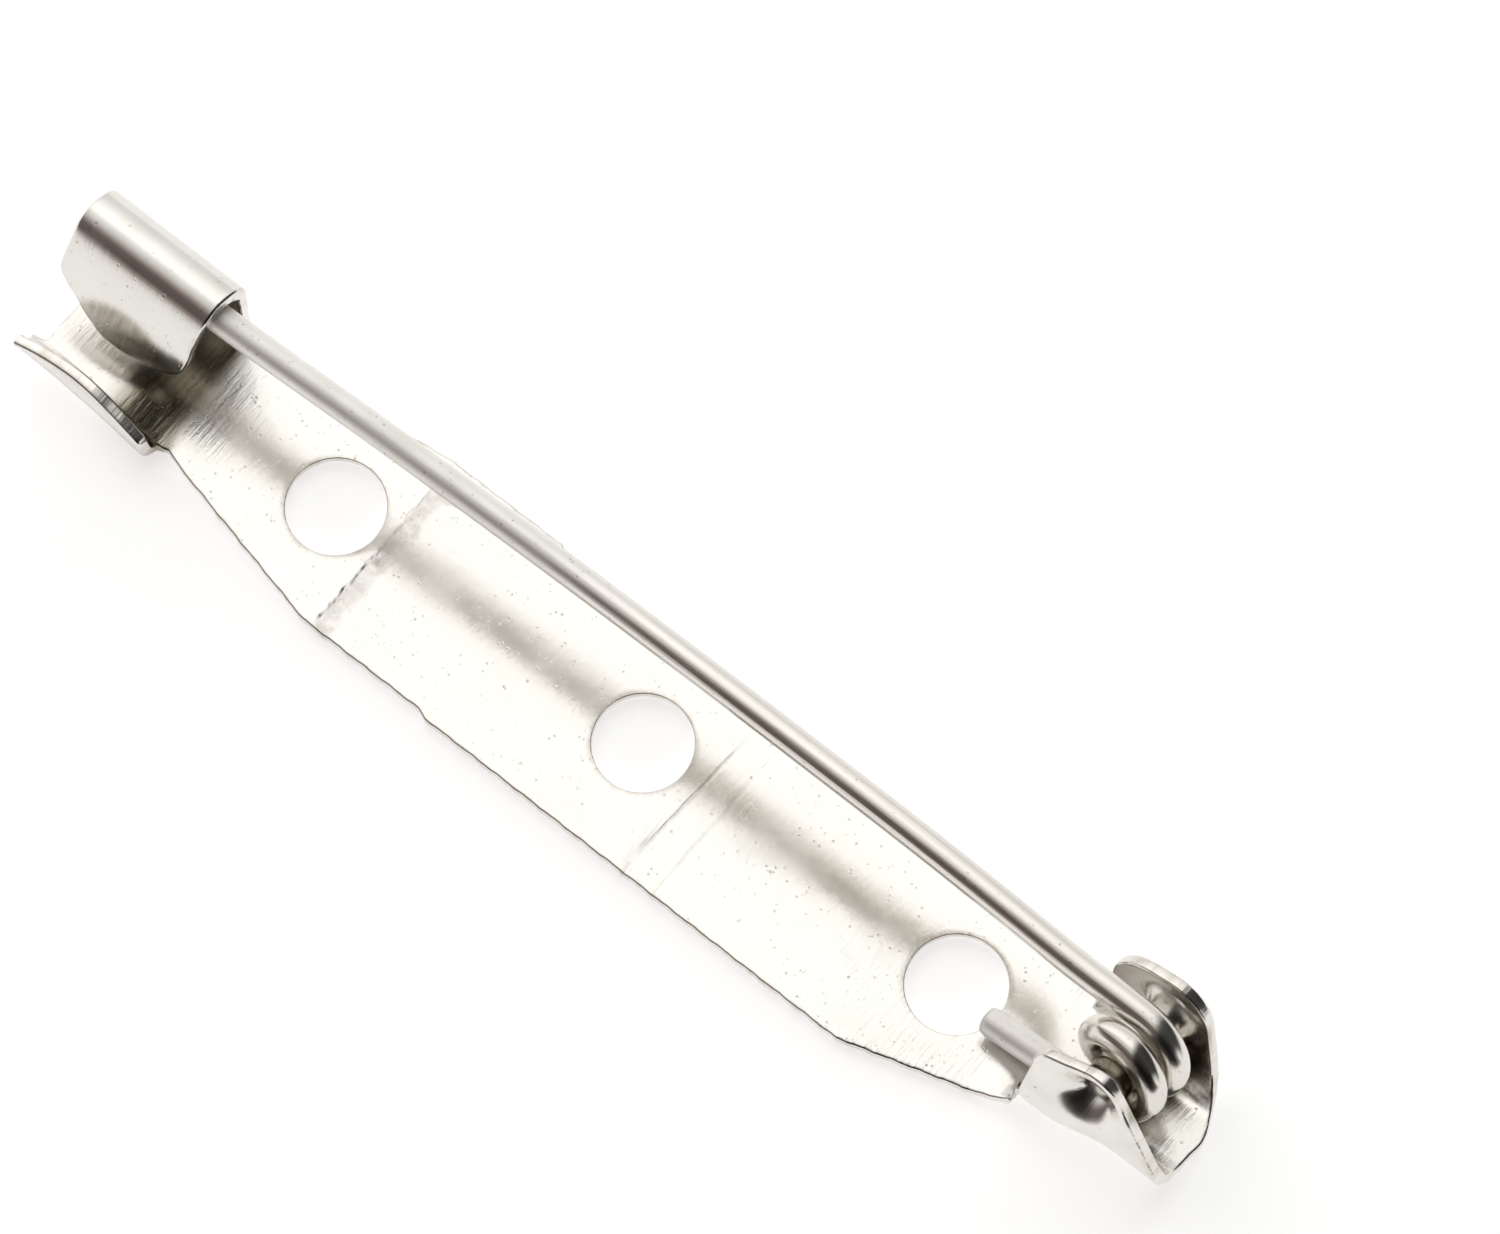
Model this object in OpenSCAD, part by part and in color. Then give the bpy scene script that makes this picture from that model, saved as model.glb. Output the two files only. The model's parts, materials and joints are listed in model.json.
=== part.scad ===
// Bar pin back for a brooch: a pressed sheet bar with three holes, a curled catch and two pierced
// ears, and a coiled spring wire pin that turns on the ears' collars.
// The origin is the middle hole's axis on the flat back face. +X runs to the hinge, +Y to the
// side over which the pin lies, and +Z away from the back face. All sizes are in millimetres.

/* [Sheet] */
// Thickness of the pressed sheet
sheet_t = 0.35; // [0.32:0.01:0.38]

/* [Plate] */
// Distance of the plate's near edge from the line of holes
near_edge = 3.05; // [2.9:0.01:3.2]
// Distance of the plate's far edge from the line of holes
far_edge = 2.78; // [2.7:0.01:3]
// Sideways step of the catch third, where two strokes of the die meet
die_step = 0.12; // [0:0.01:0.2]
// Distance from one hole's centre to the next
hole_gap = 10.42; // [10.2:0.01:10.6]
// Diameter of each hole
hole_d = 2.68; // [2.4:0.01:2.8]
// Distance from the middle hole at which the width starts to taper, at both ends
taper_start = 8.9; // [8.5:0.05:9.2]

/* [Catch] */
// Height of the end section's back face above the plate's back face
end_lift = 0.5; // [0.3:0.05:0.7]
// Length of the end section under the hook
end_len = 4.1; // [3.8:0.05:4.3]
// Height of the low flange's top above the plate's back face
flange_top = 1.6; // [1.4:0.05:1.8]
// Lean of the low flange away from the hook, in degrees
flange_lean = 8; // [0:1:12]
// Outer radius of the hook's curl
curl_r = 1.53; // [1.48:0.01:1.6]
// Height of the curl's centre above the plate's back face
curl_z = 3.2; // [3.1:0.05:3.4]
// Angle that the curl turns through, from the upright wall on to its free tongue
curl_angle = 200; // [185:1:210]
// Radius of the free tongue's inner corner, next to the stem's way in
tongue_r = 1.6; // [1.2:0.1:1.8]

/* [Hinge] */
// Distance of the hinge axis from the middle hole
axis_x = 15.5; // [15.4:0.01:15.6]
// Height of the hinge axis above the outside of the trough, square to its floor
axis_h = 2.35; // [2.3:0.01:2.4]
// Half of the trough's outer width
trough_half_w = 1.85; // [1.82:0.01:1.9]
// Outer radius of the trough's two bent corners
trough_corner_r = 1.2; // [1:0.05:1.25]
// Lean of the trough and its ears towards the far side, in degrees
trough_lean = 13; // [10:1:15]
// Length of the trough along the bar
trough_len = 4.3; // [4.1:0.05:4.4]
// Radius of the ears' rounded outline
ear_r = 0.9; // [0.8:0.05:0.95]
// Outer radius of the collars that carry the coil
collar_r = 0.62; // [0.58:0.01:0.63]
// How far each collar reaches in from its ear's outer face
collar_reach = 1.1; // [1:0.01:1.15]
// Radius of the hole at each collar's tip
collar_bore_r = 0.36; // [0.3:0.01:0.4]

/* [Pin] */
// Diameter of the spring wire
wire_d = 0.8; // [0.76:0.01:0.8]
// Radius of the coil, measured to the middle of the wire
coil_r = 1.1; // [1.08:0.01:1.12]
// Advance of the coil in one turn
coil_pitch = 0.95; // [0.85:0.01:0.97]
// Length of the short tail that rests over the plate
tail_len = 3.75; // [3.5:0.05:3.9]
// Height of the stem's middle above the plate's back face, over the holes
stem_z = 3.8; // [3.7:0.05:3.85]
// Length of the stem's ground point
point_len = 3.2; // [2.5:0.1:4]
// How far the point reaches into the hook, past the hook's open end
point_reach = 4; // [3.5:0.1:4]

/* [Hidden] */
$fn = 64;

// Amount by which a cutting shape passes the faces that it cuts
over = 0.2;
// Overlap that joins a straight stretch to a bend
lap = 0.03;
// Greater than any height in the part
tall = 6;

// Plate: places along the bar
trough_x = axis_x - 1.9;
catch_x = -15.15;
end_x = catch_x - end_len;
hook_len = end_len + 0.1;
hook_x = catch_x - 0.2 - hook_len;
joggle_x = -12.6;
joggle_len = 2.3;
die_joint_x = -5;

// Plate: half widths of the necks
catch_neck = [-1.68, 2.2];
hinge_neck = [-1.6, 2.15];

// Catch: the two edges of the end section, and the curl's centre
end_near = -2.1;
end_far = 2.37;
foot_r = 0.6;
curl_y = end_far - curl_r;

// Hinge: the trough's own frame, which leans about the middle of its floor
trough_y = 0.38;
trough_z = 0.2;
rise_len = 1.7;
pin_axis = [0, cos(trough_lean), -sin(trough_lean)];
pin_up = [0, sin(trough_lean), cos(trough_lean)];
pin_centre = [axis_x, trough_y, trough_z] + axis_h * pin_up;

// Pin: where along the axis the stem leaves the coil, and the coil's turns
stem_side = 0.45;
coil_turns = 1.5;
coil_steps = 16;
wire_sides = 16;

// A sector of a flat ring, from one angle to another, with its middle line on radius r
module ring_sector(r, thick, from, to) {
    steps = ceil(abs(to - from) / 45);
    reach = 2 * (r + thick);
    intersection() {
        difference() {
            circle(r = r + thick / 2);
            circle(r = r - thick / 2);
        }
        polygon(concat([[0, 0]], [for (i = [0:steps])
            let (a = from + (to - from) * i / steps) reach * [cos(a), sin(a)]]));
    }
}

// A flat strip whose middle line runs from p to q
module strip(p, q, thick) {
    d = q - p;
    translate(p)
        rotate(atan2(d[1], d[0]))
            translate([0, -thick / 2])
                square([norm(d), thick]);
}

// The points of a smooth step that climbs by rise over run, from p towards +X
function step_points(p, run, rise, steps = 12) =
    [for (i = [0:steps]) p + [run * i / steps, rise * (1 - cos(180 * i / steps)) / 2]];

// The unit normal of a middle line at its point i
function line_normal(line, i) =
    let (d = line[min(i + 1, len(line) - 1)] - line[max(i - 1, 0)])
    [-d[1], d[0]] / norm(d);

// A flat strip of even thickness along a middle line
module bent_strip(line, thick) {
    n = len(line);
    polygon(concat(
        [for (i = [0:n - 1]) line[i] + thick / 2 * line_normal(line, i)],
        [for (i = [n - 1:-1:0]) line[i] - thick / 2 * line_normal(line, i)]
    ));
}

// Extrudes a cross-section, drawn as Y and Z, along the bar from x
module along_bar(x, length) {
    translate([x, 0, 0])
        rotate([90, 0, 90])
            linear_extrude(length)
                children();
}

// Extrudes a side view, drawn as X and Z, right across the bar
module across_bar() {
    rotate([90, 0, 0])
        linear_extrude(3 * tall, center = true)
            children();
}

// The plate as it is seen from above, from the hook's end to the trough
module plate_outline() {
    near = [
        [trough_x + 0.4, hinge_neck[0]],
        [taper_start, -near_edge],
        [die_joint_x + 0.15, -near_edge],
        [die_joint_x - 0.15, die_step - near_edge],
        [-taper_start - 0.2, die_step - near_edge],
        [catch_x + 0.75, catch_neck[0]],
        [catch_x + 0.1, catch_neck[0]],
        [catch_x - 0.05, end_near + foot_r],
        [end_x, end_near + foot_r]
    ];
    far = [
        [end_x, end_far - foot_r],
        [catch_x - 0.05, end_far - foot_r],
        [catch_x + 0.1, catch_neck[1]],
        [catch_x + 0.55, catch_neck[1]],
        [-taper_start, far_edge + die_step],
        [die_joint_x - 0.15, far_edge + die_step],
        [die_joint_x + 0.15, far_edge],
        [taper_start, far_edge],
        [trough_x + 0.4, hinge_neck[1]]
    ];
    polygon(concat(near, far));
    translate([trough_x, trough_y - 0.9])
        square([0.9, 1.8]);
}

// The plate as it is seen from the side: a step up at the catch, a slight rise at the trough
module plate_side() {
    mid = sheet_t / 2;
    low_end = joggle_x - joggle_len;
    rise_x = trough_x - rise_len;
    bent_strip(concat(
        [[end_x, end_lift + mid]],
        step_points([low_end, end_lift + mid], joggle_len, -end_lift),
        step_points([rise_x, mid], rise_len, trough_z),
        [[trough_x + 1, trough_z + mid]]
    ), sheet_t);
}

module plate() {
    intersection() {
        linear_extrude(tall)
            plate_outline();
        across_bar()
            plate_side();
    }
}

// The end section's cross-section on the far side: the foot, the upright wall and the curl
module hook_section() {
    wall_y = end_far - sheet_t / 2;
    foot_mid = foot_r - sheet_t / 2;
    foot_z = end_lift + foot_r;
    translate([end_far - foot_r, foot_z])
        ring_sector(foot_mid, sheet_t, -90, 0);
    strip([wall_y, foot_z], [wall_y, curl_z], sheet_t);
    translate([curl_y, curl_z])
        ring_sector(curl_r - sheet_t / 2, sheet_t, 0, curl_angle);
}

// What stays of the free tongue, as it is seen from the near side: one slanting edge, one round
module tongue_outline() {
    left = hook_x;
    right = hook_x + hook_len + 0.1;
    low = curl_z - 0.45;
    round_x = right - tongue_r;
    union() {
        translate([round_x, low + tongue_r])
            circle(r = tongue_r);
        polygon([
            [left, tall],
            [left, curl_z + 0.9],
            [round_x - 1.05, low + 0.18],
            [round_x, low],
            [round_x, low + tongue_r],
            [right, low + tongue_r],
            [right, tall]
        ]);
    }
}

module hook() {
    difference() {
        along_bar(hook_x, hook_len)
            hook_section();
        // The curl's near half is cut back to the tongue's outline
        difference() {
            translate([hook_x - over, curl_y - 2 * curl_r, end_lift + 1.2])
                cube([hook_len + 2 * over, 2 * curl_r, tall]);
            across_bar()
                tongue_outline();
        }
    }
}

// The low flange along the end section's near edge
module flange() {
    foot_z = end_lift + foot_r;
    foot_mid = foot_r - sheet_t / 2;
    up = flange_top - foot_z;
    along_bar(end_x - 0.4, end_len + 0.4)
        translate([end_near + foot_r, foot_z]) {
            ring_sector(foot_mid, sheet_t, 180 + flange_lean, 270);
            rotate(flange_lean)
                strip([-foot_mid, -lap], [-foot_mid, up], sheet_t);
        }
}

// Puts its children in the trough's own frame
module in_trough_frame() {
    translate([0, trough_y, trough_z])
        rotate([-trough_lean, 0, 0])
            children();
}

// The trough's cross-section: a floor, two bent corners and two straight walls
module trough_section() {
    corner_mid = trough_corner_r - sheet_t / 2;
    corner_y = trough_half_w - trough_corner_r;
    wall_y = trough_half_w - sheet_t / 2;
    strip([-corner_y, sheet_t / 2], [corner_y, sheet_t / 2], sheet_t);
    for (side = [-1, 1]) {
        translate([side * corner_y, trough_corner_r])
            ring_sector(corner_mid, sheet_t, -90, side > 0 ? 0 : -180);
        strip([side * wall_y, trough_corner_r], [side * wall_y, tall], sheet_t);
    }
}

// The ears as they are seen from the side: a lobe in front, a higher one behind, a sloping back
module ear_outline() {
    top = [axis_x + 0.1, axis_h + 0.97];
    front = [trough_x + ear_r, axis_h + 0.35];
    back = [trough_x + trough_len, 1];
    along = (top - front) / norm(top - front);
    across = [-along[1], along[0]];
    // The sloping back edge is tangent to the higher lobe
    reach = norm(top - back);
    tangent_angle = atan2(top[1] - back[1], top[0] - back[0]) - asin(ear_r / reach);
    tangent_len = sqrt(reach * reach - ear_r * ear_r);
    tangent = back + tangent_len * [cos(tangent_angle), sin(tangent_angle)];
    for (lobe = [top, front])
        translate(lobe)
            circle(r = ear_r);
    polygon([
        [trough_x, -over],
        [back[0], -over],
        back,
        tangent,
        top,
        top + ear_r * across,
        front + ear_r * across,
        front,
        [trough_x, front[1]]
    ]);
}

// One collar as a solid of revolution about its own axis, mouth down at height 0
module collar_body() {
    rotate_extrude()
        polygon([
            [0, sheet_t / 2],
            [collar_r, sheet_t / 2],
            [collar_r, collar_reach],
            [0, collar_reach]
        ]);
}

// The flared hole through a collar, wide at the ear's outer face
module collar_hole() {
    flare = 0.52;
    translate([0, 0, -over])
        cylinder(r = collar_bore_r, h = collar_reach + 2 * over);
    rotate_extrude()
        difference() {
            translate([0, -over])
                square([collar_bore_r + flare, flare + over]);
            translate([collar_bore_r + flare, flare])
                circle(r = flare);
        }
}

// Puts its children on the hinge axis at both ears, with +Z pointing inwards
module at_ears() {
    for (side = [-1, 1])
        translate([axis_x, side * trough_half_w, axis_h])
            rotate([side * 90, 0, 0])
                children();
}

module hinge() {
    in_trough_frame()
        difference() {
            union() {
                intersection() {
                    along_bar(trough_x, trough_len)
                        trough_section();
                    across_bar()
                        ear_outline();
                }
                at_ears()
                    collar_body();
            }
            at_ears()
                collar_hole();
        }
}

module bar() {
    color([0.8, 0.78, 0.74])
        difference() {
            union() {
                plate();
                hook();
                flange();
                hinge();
            }
            for (i = [-1:1])
                translate([i * hole_gap, 0, -over])
                    cylinder(d = hole_d, h = sheet_t + 2 * over);
        }
}

// A point of the coil at an angle in degrees, counted back from the place where the stem leaves
function coil_point(a) =
    pin_centre
    + (stem_side - coil_pitch * a / 360) * pin_axis
    + coil_r * (sin(a) * [1, 0, 0] + cos(a) * pin_up);

// The stem's middle line from the coil to the point, with a slight bow away from the bar
stem_points = [
    [13, 1.6, stem_z - 0.24],
    [10.6, 1.66, stem_z - 0.12],
    [8, 1.7, stem_z - 0.03],
    [4, 1.71, stem_z],
    [0, 1.68, stem_z],
    [-5, 1.6, stem_z],
    [-10, 1.48, stem_z - 0.04],
    [-13.5, 1.37, stem_z - 0.1]
];

// The point's rings: each row is the share of its length, and the share of the wire's width
point_rings = [[0, 1], [0.3, 0.86], [0.6, 0.6], [0.85, 0.3], [1, 0.06]];

coil_path = [for (i = [0:coil_steps * coil_turns]) coil_point(360 * i / coil_steps)];
coil_last = coil_path[len(coil_path) - 1];
tail_dir = [-1, -0.02, -0.185];
tail_path = [for (share = [0.35, 1])
    coil_last + share * tail_len * tail_dir];
tip_x = catch_x - point_reach;
tip_z = stem_z - 0.2;
point_path = [for (ring = point_rings)
    [tip_x + (1 - ring[0]) * point_len, 1.3 + 0.03 * (1 - ring[0]), tip_z]];

// The whole middle line from the tip to the tail's end, and the wire's radius along it
pin_path = concat(
    [for (i = [len(point_path) - 1:-1:0]) point_path[i]],
    [for (i = [len(stem_points) - 1:-1:0]) stem_points[i]],
    coil_path,
    tail_path
);
pin_radii = concat(
    [for (i = [len(point_rings) - 1:-1:0]) wire_d / 2 * point_rings[i][1]],
    [for (i = [1:len(stem_points) + len(coil_path) + len(tail_path)]) wire_d / 2]
);

function unit(v) = v / norm(v);

// The direction of a path at its point i
function path_dir(path, i) =
    unit(path[min(i + 1, len(path) - 1)] - path[max(i - 1, 0)]);

// One ring of points about point i of a path, square to it, with its first point towards side
function wire_ring(path, radii, i, side) =
    let (
        along = path_dir(path, i),
        up = unit(cross(along, side)),
        out = cross(up, along)
    )
    [for (k = [0:wire_sides - 1])
        let (a = 360 * k / wire_sides)
        path[i] + radii[i] * (cos(a) * out + sin(a) * up)];

// A wire of round section along a path, closed at both ends
module wire(path, radii, side) {
    n = len(path);
    points = [for (i = [0:n - 1]) each wire_ring(path, radii, i, side)];
    walls = [for (i = [0:n - 2], k = [0:wire_sides - 1])
        let (
            a = i * wire_sides + k,
            b = i * wire_sides + (k + 1) % wire_sides
        )
        each [[a, b, b + wire_sides], [a, b + wire_sides, a + wire_sides]]];
    first = [for (k = [wire_sides - 1:-1:0]) k];
    last = [for (k = [0:wire_sides - 1]) (n - 1) * wire_sides + k];
    polyhedron(points, concat([first], walls, [last]), convexity = 6);
}

module pin() {
    color([0.7, 0.68, 0.64])
        wire(pin_path, pin_radii, pin_axis);
}

bar();
pin();
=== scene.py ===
"""Looks of a bar pin back: a pressed nickel-plated sheet bar and its coiled spring wire pin.

The bar is made as the real one is made: a flat blank is cut out, its edges are rounded, and a
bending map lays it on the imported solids' shape. The pin is a wire swept along its own path.
"""

import json
import logging
import math
from dataclasses import dataclass
from enum import Enum

import bpy
import numpy as np
from mathutils import Matrix, Vector
from mathutils.geometry import delaunay_2d_cdt


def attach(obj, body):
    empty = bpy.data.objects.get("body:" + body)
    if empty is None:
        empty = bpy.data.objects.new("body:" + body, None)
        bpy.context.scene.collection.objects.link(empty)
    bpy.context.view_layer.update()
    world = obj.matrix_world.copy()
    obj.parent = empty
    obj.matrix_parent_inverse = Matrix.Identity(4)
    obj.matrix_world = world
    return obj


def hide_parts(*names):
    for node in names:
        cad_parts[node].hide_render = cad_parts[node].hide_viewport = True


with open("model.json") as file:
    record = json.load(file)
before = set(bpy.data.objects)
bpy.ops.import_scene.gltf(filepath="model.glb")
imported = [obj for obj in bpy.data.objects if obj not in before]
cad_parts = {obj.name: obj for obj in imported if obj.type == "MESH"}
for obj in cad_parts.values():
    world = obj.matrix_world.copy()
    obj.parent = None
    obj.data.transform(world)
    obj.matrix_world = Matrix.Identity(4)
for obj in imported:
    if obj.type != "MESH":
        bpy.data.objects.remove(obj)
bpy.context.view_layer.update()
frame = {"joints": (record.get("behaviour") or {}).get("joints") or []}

LOG = logging.getLogger("pin_back")
MM = 0.001
Array = np.ndarray
Span = tuple[float, float]
Triple = tuple[float, float, float]
Colour = Triple
Tree = bpy.types.NodeTree
Socket = bpy.types.NodeSocket
Given = Socket | Colour | float


class Side(Enum):
    """The two sides of the bar, as signs along its Y axis."""

    NEAR = -1
    FAR = 1


class GrainWay(Enum):
    """The way a finish is brushed, as its pattern's scale along the blank and across it."""

    ACROSS = (7.0, 0.9)
    ALONG = (0.12, 9.0)


def smooth_step(low: float, high: float, value: Array) -> Array:
    """Eases from 0, where the value is low or less, to 1, where it is high or more."""
    share = np.clip((value - low) / (high - low), 0.0, 1.0)
    return share * share * (3.0 - 2.0 * share)


def between(rise: Span, fall: Span, value: Array) -> Array:
    """Eases up from 0 to 1 over one span and down to 0 again over a later one."""
    return smooth_step(*rise, value) * (1 - smooth_step(*fall, value))


def spot(u: Array, v: Array, middle: Span, reach: Span) -> Array:
    """Gives a soft spot that is 1 in its middle and fades over its reach along and across."""
    return np.exp(-((u - middle[0]) / reach[0]) ** 2 - ((v - middle[1]) / reach[1]) ** 2)


def ripple(where: Array, waves: tuple[Triple, ...]) -> Array:
    """Adds up a few sine waves into an uneven line.

    Args:
        where: Places along the line, in millimetres.
        waves: Height, length and phase of each wave.

    Returns:
        The height of the line at each place.
    """
    total = np.zeros_like(where)
    for height, length, phase in waves:
        total += height * np.sin(2.0 * math.pi * where / length + phase)
    return total


def make_object(name: str, points: Array, faces: list[list[int]]) -> bpy.types.Object:
    """Makes a smooth-shaded mesh object from points in millimetres.

    Args:
        name: The object's name.
        points: One row of x, y and z for each vertex.
        faces: The vertex numbers of each face.

    Returns:
        The new object, linked to the scene.
    """
    mesh = bpy.data.meshes.new(name)
    mesh.from_pydata((points * MM).tolist(), [], faces)
    mesh.validate()
    mesh.polygons.foreach_set("use_smooth", np.ones(len(mesh.polygons), dtype=bool))
    made = bpy.data.objects.new(name, mesh)
    bpy.context.scene.collection.objects.link(made)
    return made


def lay_map(made: bpy.types.Object, name: str, flat: Array) -> None:
    """Stores flat coordinates of each vertex as a UV map.

    Args:
        made: The object whose mesh gets the map.
        name: The map's name.
        flat: One row of two coordinates for each vertex.
    """
    mesh = made.data
    layer = mesh.uv_layers.new(name=name)
    corner = np.zeros(len(mesh.loops), dtype=np.int32)
    mesh.loops.foreach_get("vertex_index", corner)
    layer.data.foreach_set("uv", flat[corner].astype(np.float32).ravel())


def lay_shade(made: bpy.types.Object, name: str, value: Array) -> None:
    """Stores one number for each vertex of an object, for a material to read by its name."""
    layer = made.data.attributes.new(name, "FLOAT", "POINT")
    layer.data.foreach_set("value", value.astype(np.float32))


@dataclass(frozen=True)
class Corner:
    """A corner of the blank's outline, in millimetres, with the radius that rounds it."""

    u: float
    v: float
    radius: float


@dataclass(frozen=True)
class Rim:
    """The rounding of a cut edge: how far it reaches in from the edge on each face."""

    front: float
    back: float
    inset: float
    arc_steps: int = 4

    def profile(self, half: float) -> list[Span]:
        """Lists the rim's profile from the front face round to the back face.

        Args:
            half: Half of the sheet's thickness.

        Returns:
            Pairs of the distance in from the edge and the height over the middle surface.
        """
        turns = [0.5 * math.pi * step / self.arc_steps for step in range(self.arc_steps + 1)]
        front = [(self.front * (1 - math.sin(t)), half - self.front * (1 - math.cos(t))) for t in turns]
        back = [(self.back * (1 - math.cos(t)), self.back * (1 - math.sin(t)) - half) for t in turns]
        return [(self.inset, half), *front, *back, (self.inset, -half)]


def round_outline(corners: list[Corner], pitch: float) -> Array:
    """Rounds the corners of an outline and spaces points along it.

    Args:
        corners: The outline's corners, counter-clockwise.
        pitch: The wanted distance between points.

    Returns:
        One row of u and v for each point.
    """
    raw: list[Array] = []
    places = np.array([(corner.u, corner.v) for corner in corners])
    backs, aheads = (np.roll(places, shift, axis=0) - places for shift in (1, -1))
    for corner, here, back, ahead in zip(corners, places, backs, aheads):
        back /= np.linalg.norm(back)
        ahead /= np.linalg.norm(ahead)
        opening = math.acos(float(np.clip(back @ ahead, -1.0, 1.0)))
        if corner.radius <= 0.0 or abs(opening - math.pi) < 0.02:
            raw.append(here)
            continue
        reach = corner.radius / math.tan(opening / 2.0)
        halfway = (back + ahead) / np.linalg.norm(back + ahead)
        middle = here + halfway * corner.radius / math.sin(opening / 2.0)
        first = here + back * reach - middle
        last = here + ahead * reach - middle
        turn = math.atan2(first[0] * last[1] - first[1] * last[0], float(first @ last))
        steps = max(4, int(abs(turn) * corner.radius / pitch) + 1)
        for step in range(steps + 1):
            a = turn * step / steps
            raw.append(middle + np.array([first[0] * math.cos(a) - first[1] * math.sin(a),
                                          first[0] * math.sin(a) + first[1] * math.cos(a)]))
    points: list[Array] = []
    for here, ahead in zip(raw, raw[1:] + raw[:1]):
        pieces = max(1, int(round(float(np.linalg.norm(ahead - here)) / pitch)))
        points.extend(here + (ahead - here) * k / pieces for k in range(pieces))
    return np.array(points)


def inward(loop: Array) -> Array:
    """Finds the unit normals of a counter-clockwise loop, towards its inside.

    Args:
        loop: One row of u and v for each point.

    Returns:
        One unit vector for each point.
    """
    ahead = np.roll(loop, -1, axis=0) - np.roll(loop, 1, axis=0)
    normal = np.stack([-ahead[:, 1], ahead[:, 0]], axis=1)
    return normal / np.linalg.norm(normal, axis=1, keepdims=True)


def inside(loop: Array, points: Array) -> Array:
    """Tests which points lie inside a loop.

    Args:
        loop: One row of u and v for each point of the loop.
        points: The points to test.

    Returns:
        True for each point that lies inside.
    """
    found = np.zeros(len(points), dtype=bool)
    ahead = np.roll(loop, -1, axis=0)
    for (u0, v0), (u1, v1) in zip(loop, ahead):
        if v0 == v1:
            continue
        crosses = (points[:, 1] < v0) != (points[:, 1] < v1)
        edge_u = u0 + (points[:, 1] - v0) * (u1 - u0) / (v1 - v0)
        found ^= crosses & (points[:, 0] < edge_u)
    return found


@dataclass(frozen=True)
class BendChain:
    """A cross-section's middle line that starts level and turns upwards in stretches."""

    lengths: tuple[float, ...]
    turns: tuple[float, ...]

    def at(self, along: Array) -> tuple[Array, Array, Array]:
        """Follows the line.

        Args:
            along: Distances along the line from its start.

        Returns:
            The distance out, the height and the heading in radians at each place.
        """
        out = np.zeros_like(along)
        up = np.zeros_like(along)
        heading = np.zeros_like(along)
        left = along.copy()
        start = 0.0
        for i, (length, turn) in enumerate(zip(self.lengths, self.turns)):
            last = i == len(self.lengths) - 1
            part = np.maximum(left, 0.0) if last else np.clip(left, 0.0, length)
            bend = math.radians(turn)
            if bend == 0.0:
                out += part * math.cos(start)
                up += part * math.sin(start)
            else:
                radius = length / bend
                angle = start + part / radius
                out += radius * (np.sin(angle) - math.sin(start))
                up += radius * (math.cos(start) - np.cos(angle))
                heading += part / radius
            left -= length
            start += bend
        return out, up, heading


def feed(tree: Tree, target: Socket, given: Given) -> None:
    """Links a socket to an input, or sets the input to a colour or a number.

    Args:
        tree: The nodes that hold the input.
        target: The input to fill.
        given: What fills it.
    """
    if isinstance(given, Socket):
        tree.links.new(given, target)
    elif isinstance(given, tuple):
        target.default_value = (*given, 1.0)
    else:
        target.default_value = given


def read_shade(tree: Tree, name: str) -> Socket:
    """Adds a node that reads one of the numbers laid on the vertices.

    Args:
        tree: The nodes to add to.
        name: The attribute's name.

    Returns:
        The socket that gives the number.
    """
    node = tree.nodes.new("ShaderNodeAttribute")
    node.attribute_name = name
    return node.outputs["Fac"]


def compute(tree: Tree, kind: str, first: Socket, second: Socket) -> Socket:
    """Adds a math node.

    Args:
        tree: The nodes to add to.
        kind: The operation's name.
        first: The first value.
        second: The second value.

    Returns:
        The node's result.
    """
    node = tree.nodes.new("ShaderNodeMath")
    node.operation = kind
    feed(tree, node.inputs[0], first)
    feed(tree, node.inputs[1], second)
    return node.outputs["Value"]


def remap(tree: Tree, value: Socket, given: Span, wanted: Span, kind: str = "LINEAR") -> Socket:
    """Adds a node that maps one range of values to another.

    Args:
        tree: The nodes to add to.
        value: The values.
        given: The range that the values have.
        wanted: The range that they get.
        kind: The way between the range's ends.

    Returns:
        The mapped values.
    """
    node = tree.nodes.new("ShaderNodeMapRange")
    node.interpolation_type = kind
    node.inputs["From Min"].default_value, node.inputs["From Max"].default_value = given
    node.inputs["To Min"].default_value, node.inputs["To Max"].default_value = wanted
    feed(tree, node.inputs["Value"], value)
    return node.outputs["Result"]


def blend(tree: Tree, first: Given, second: Given, share: Given, kind: str = "MIX") -> Socket:
    """Adds a node that blends two colours.

    Args:
        tree: The nodes to add to.
        first: The colour where the share is 0.
        second: The colour where the share is 1.
        share: The share of the second colour.
        kind: The way to blend.

    Returns:
        The blended colour.
    """
    node = tree.nodes.new("ShaderNodeMix")
    node.data_type = "RGBA"
    node.blend_type = kind
    feed(tree, node.inputs["A"], first)
    feed(tree, node.inputs["B"], second)
    feed(tree, node.inputs["Factor"], share)
    return node.outputs["Result"]


def bump(tree: Tree, height: Socket, strength: float, depth: float, under: Socket | None = None) -> Socket:
    """Adds a node that turns heights into relief.

    Args:
        tree: The nodes to add to.
        height: The heights.
        strength: How strong the relief is.
        depth: The depth of a height of 1, in metres.
        under: The relief that lies under this one.

    Returns:
        The bent normal.
    """
    node = tree.nodes.new("ShaderNodeBump")
    node.inputs["Strength"].default_value = strength
    node.inputs["Distance"].default_value = depth
    feed(tree, node.inputs["Height"], height)
    if under is not None:
        feed(tree, node.inputs["Normal"], under)
    return node.outputs["Normal"]


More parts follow.
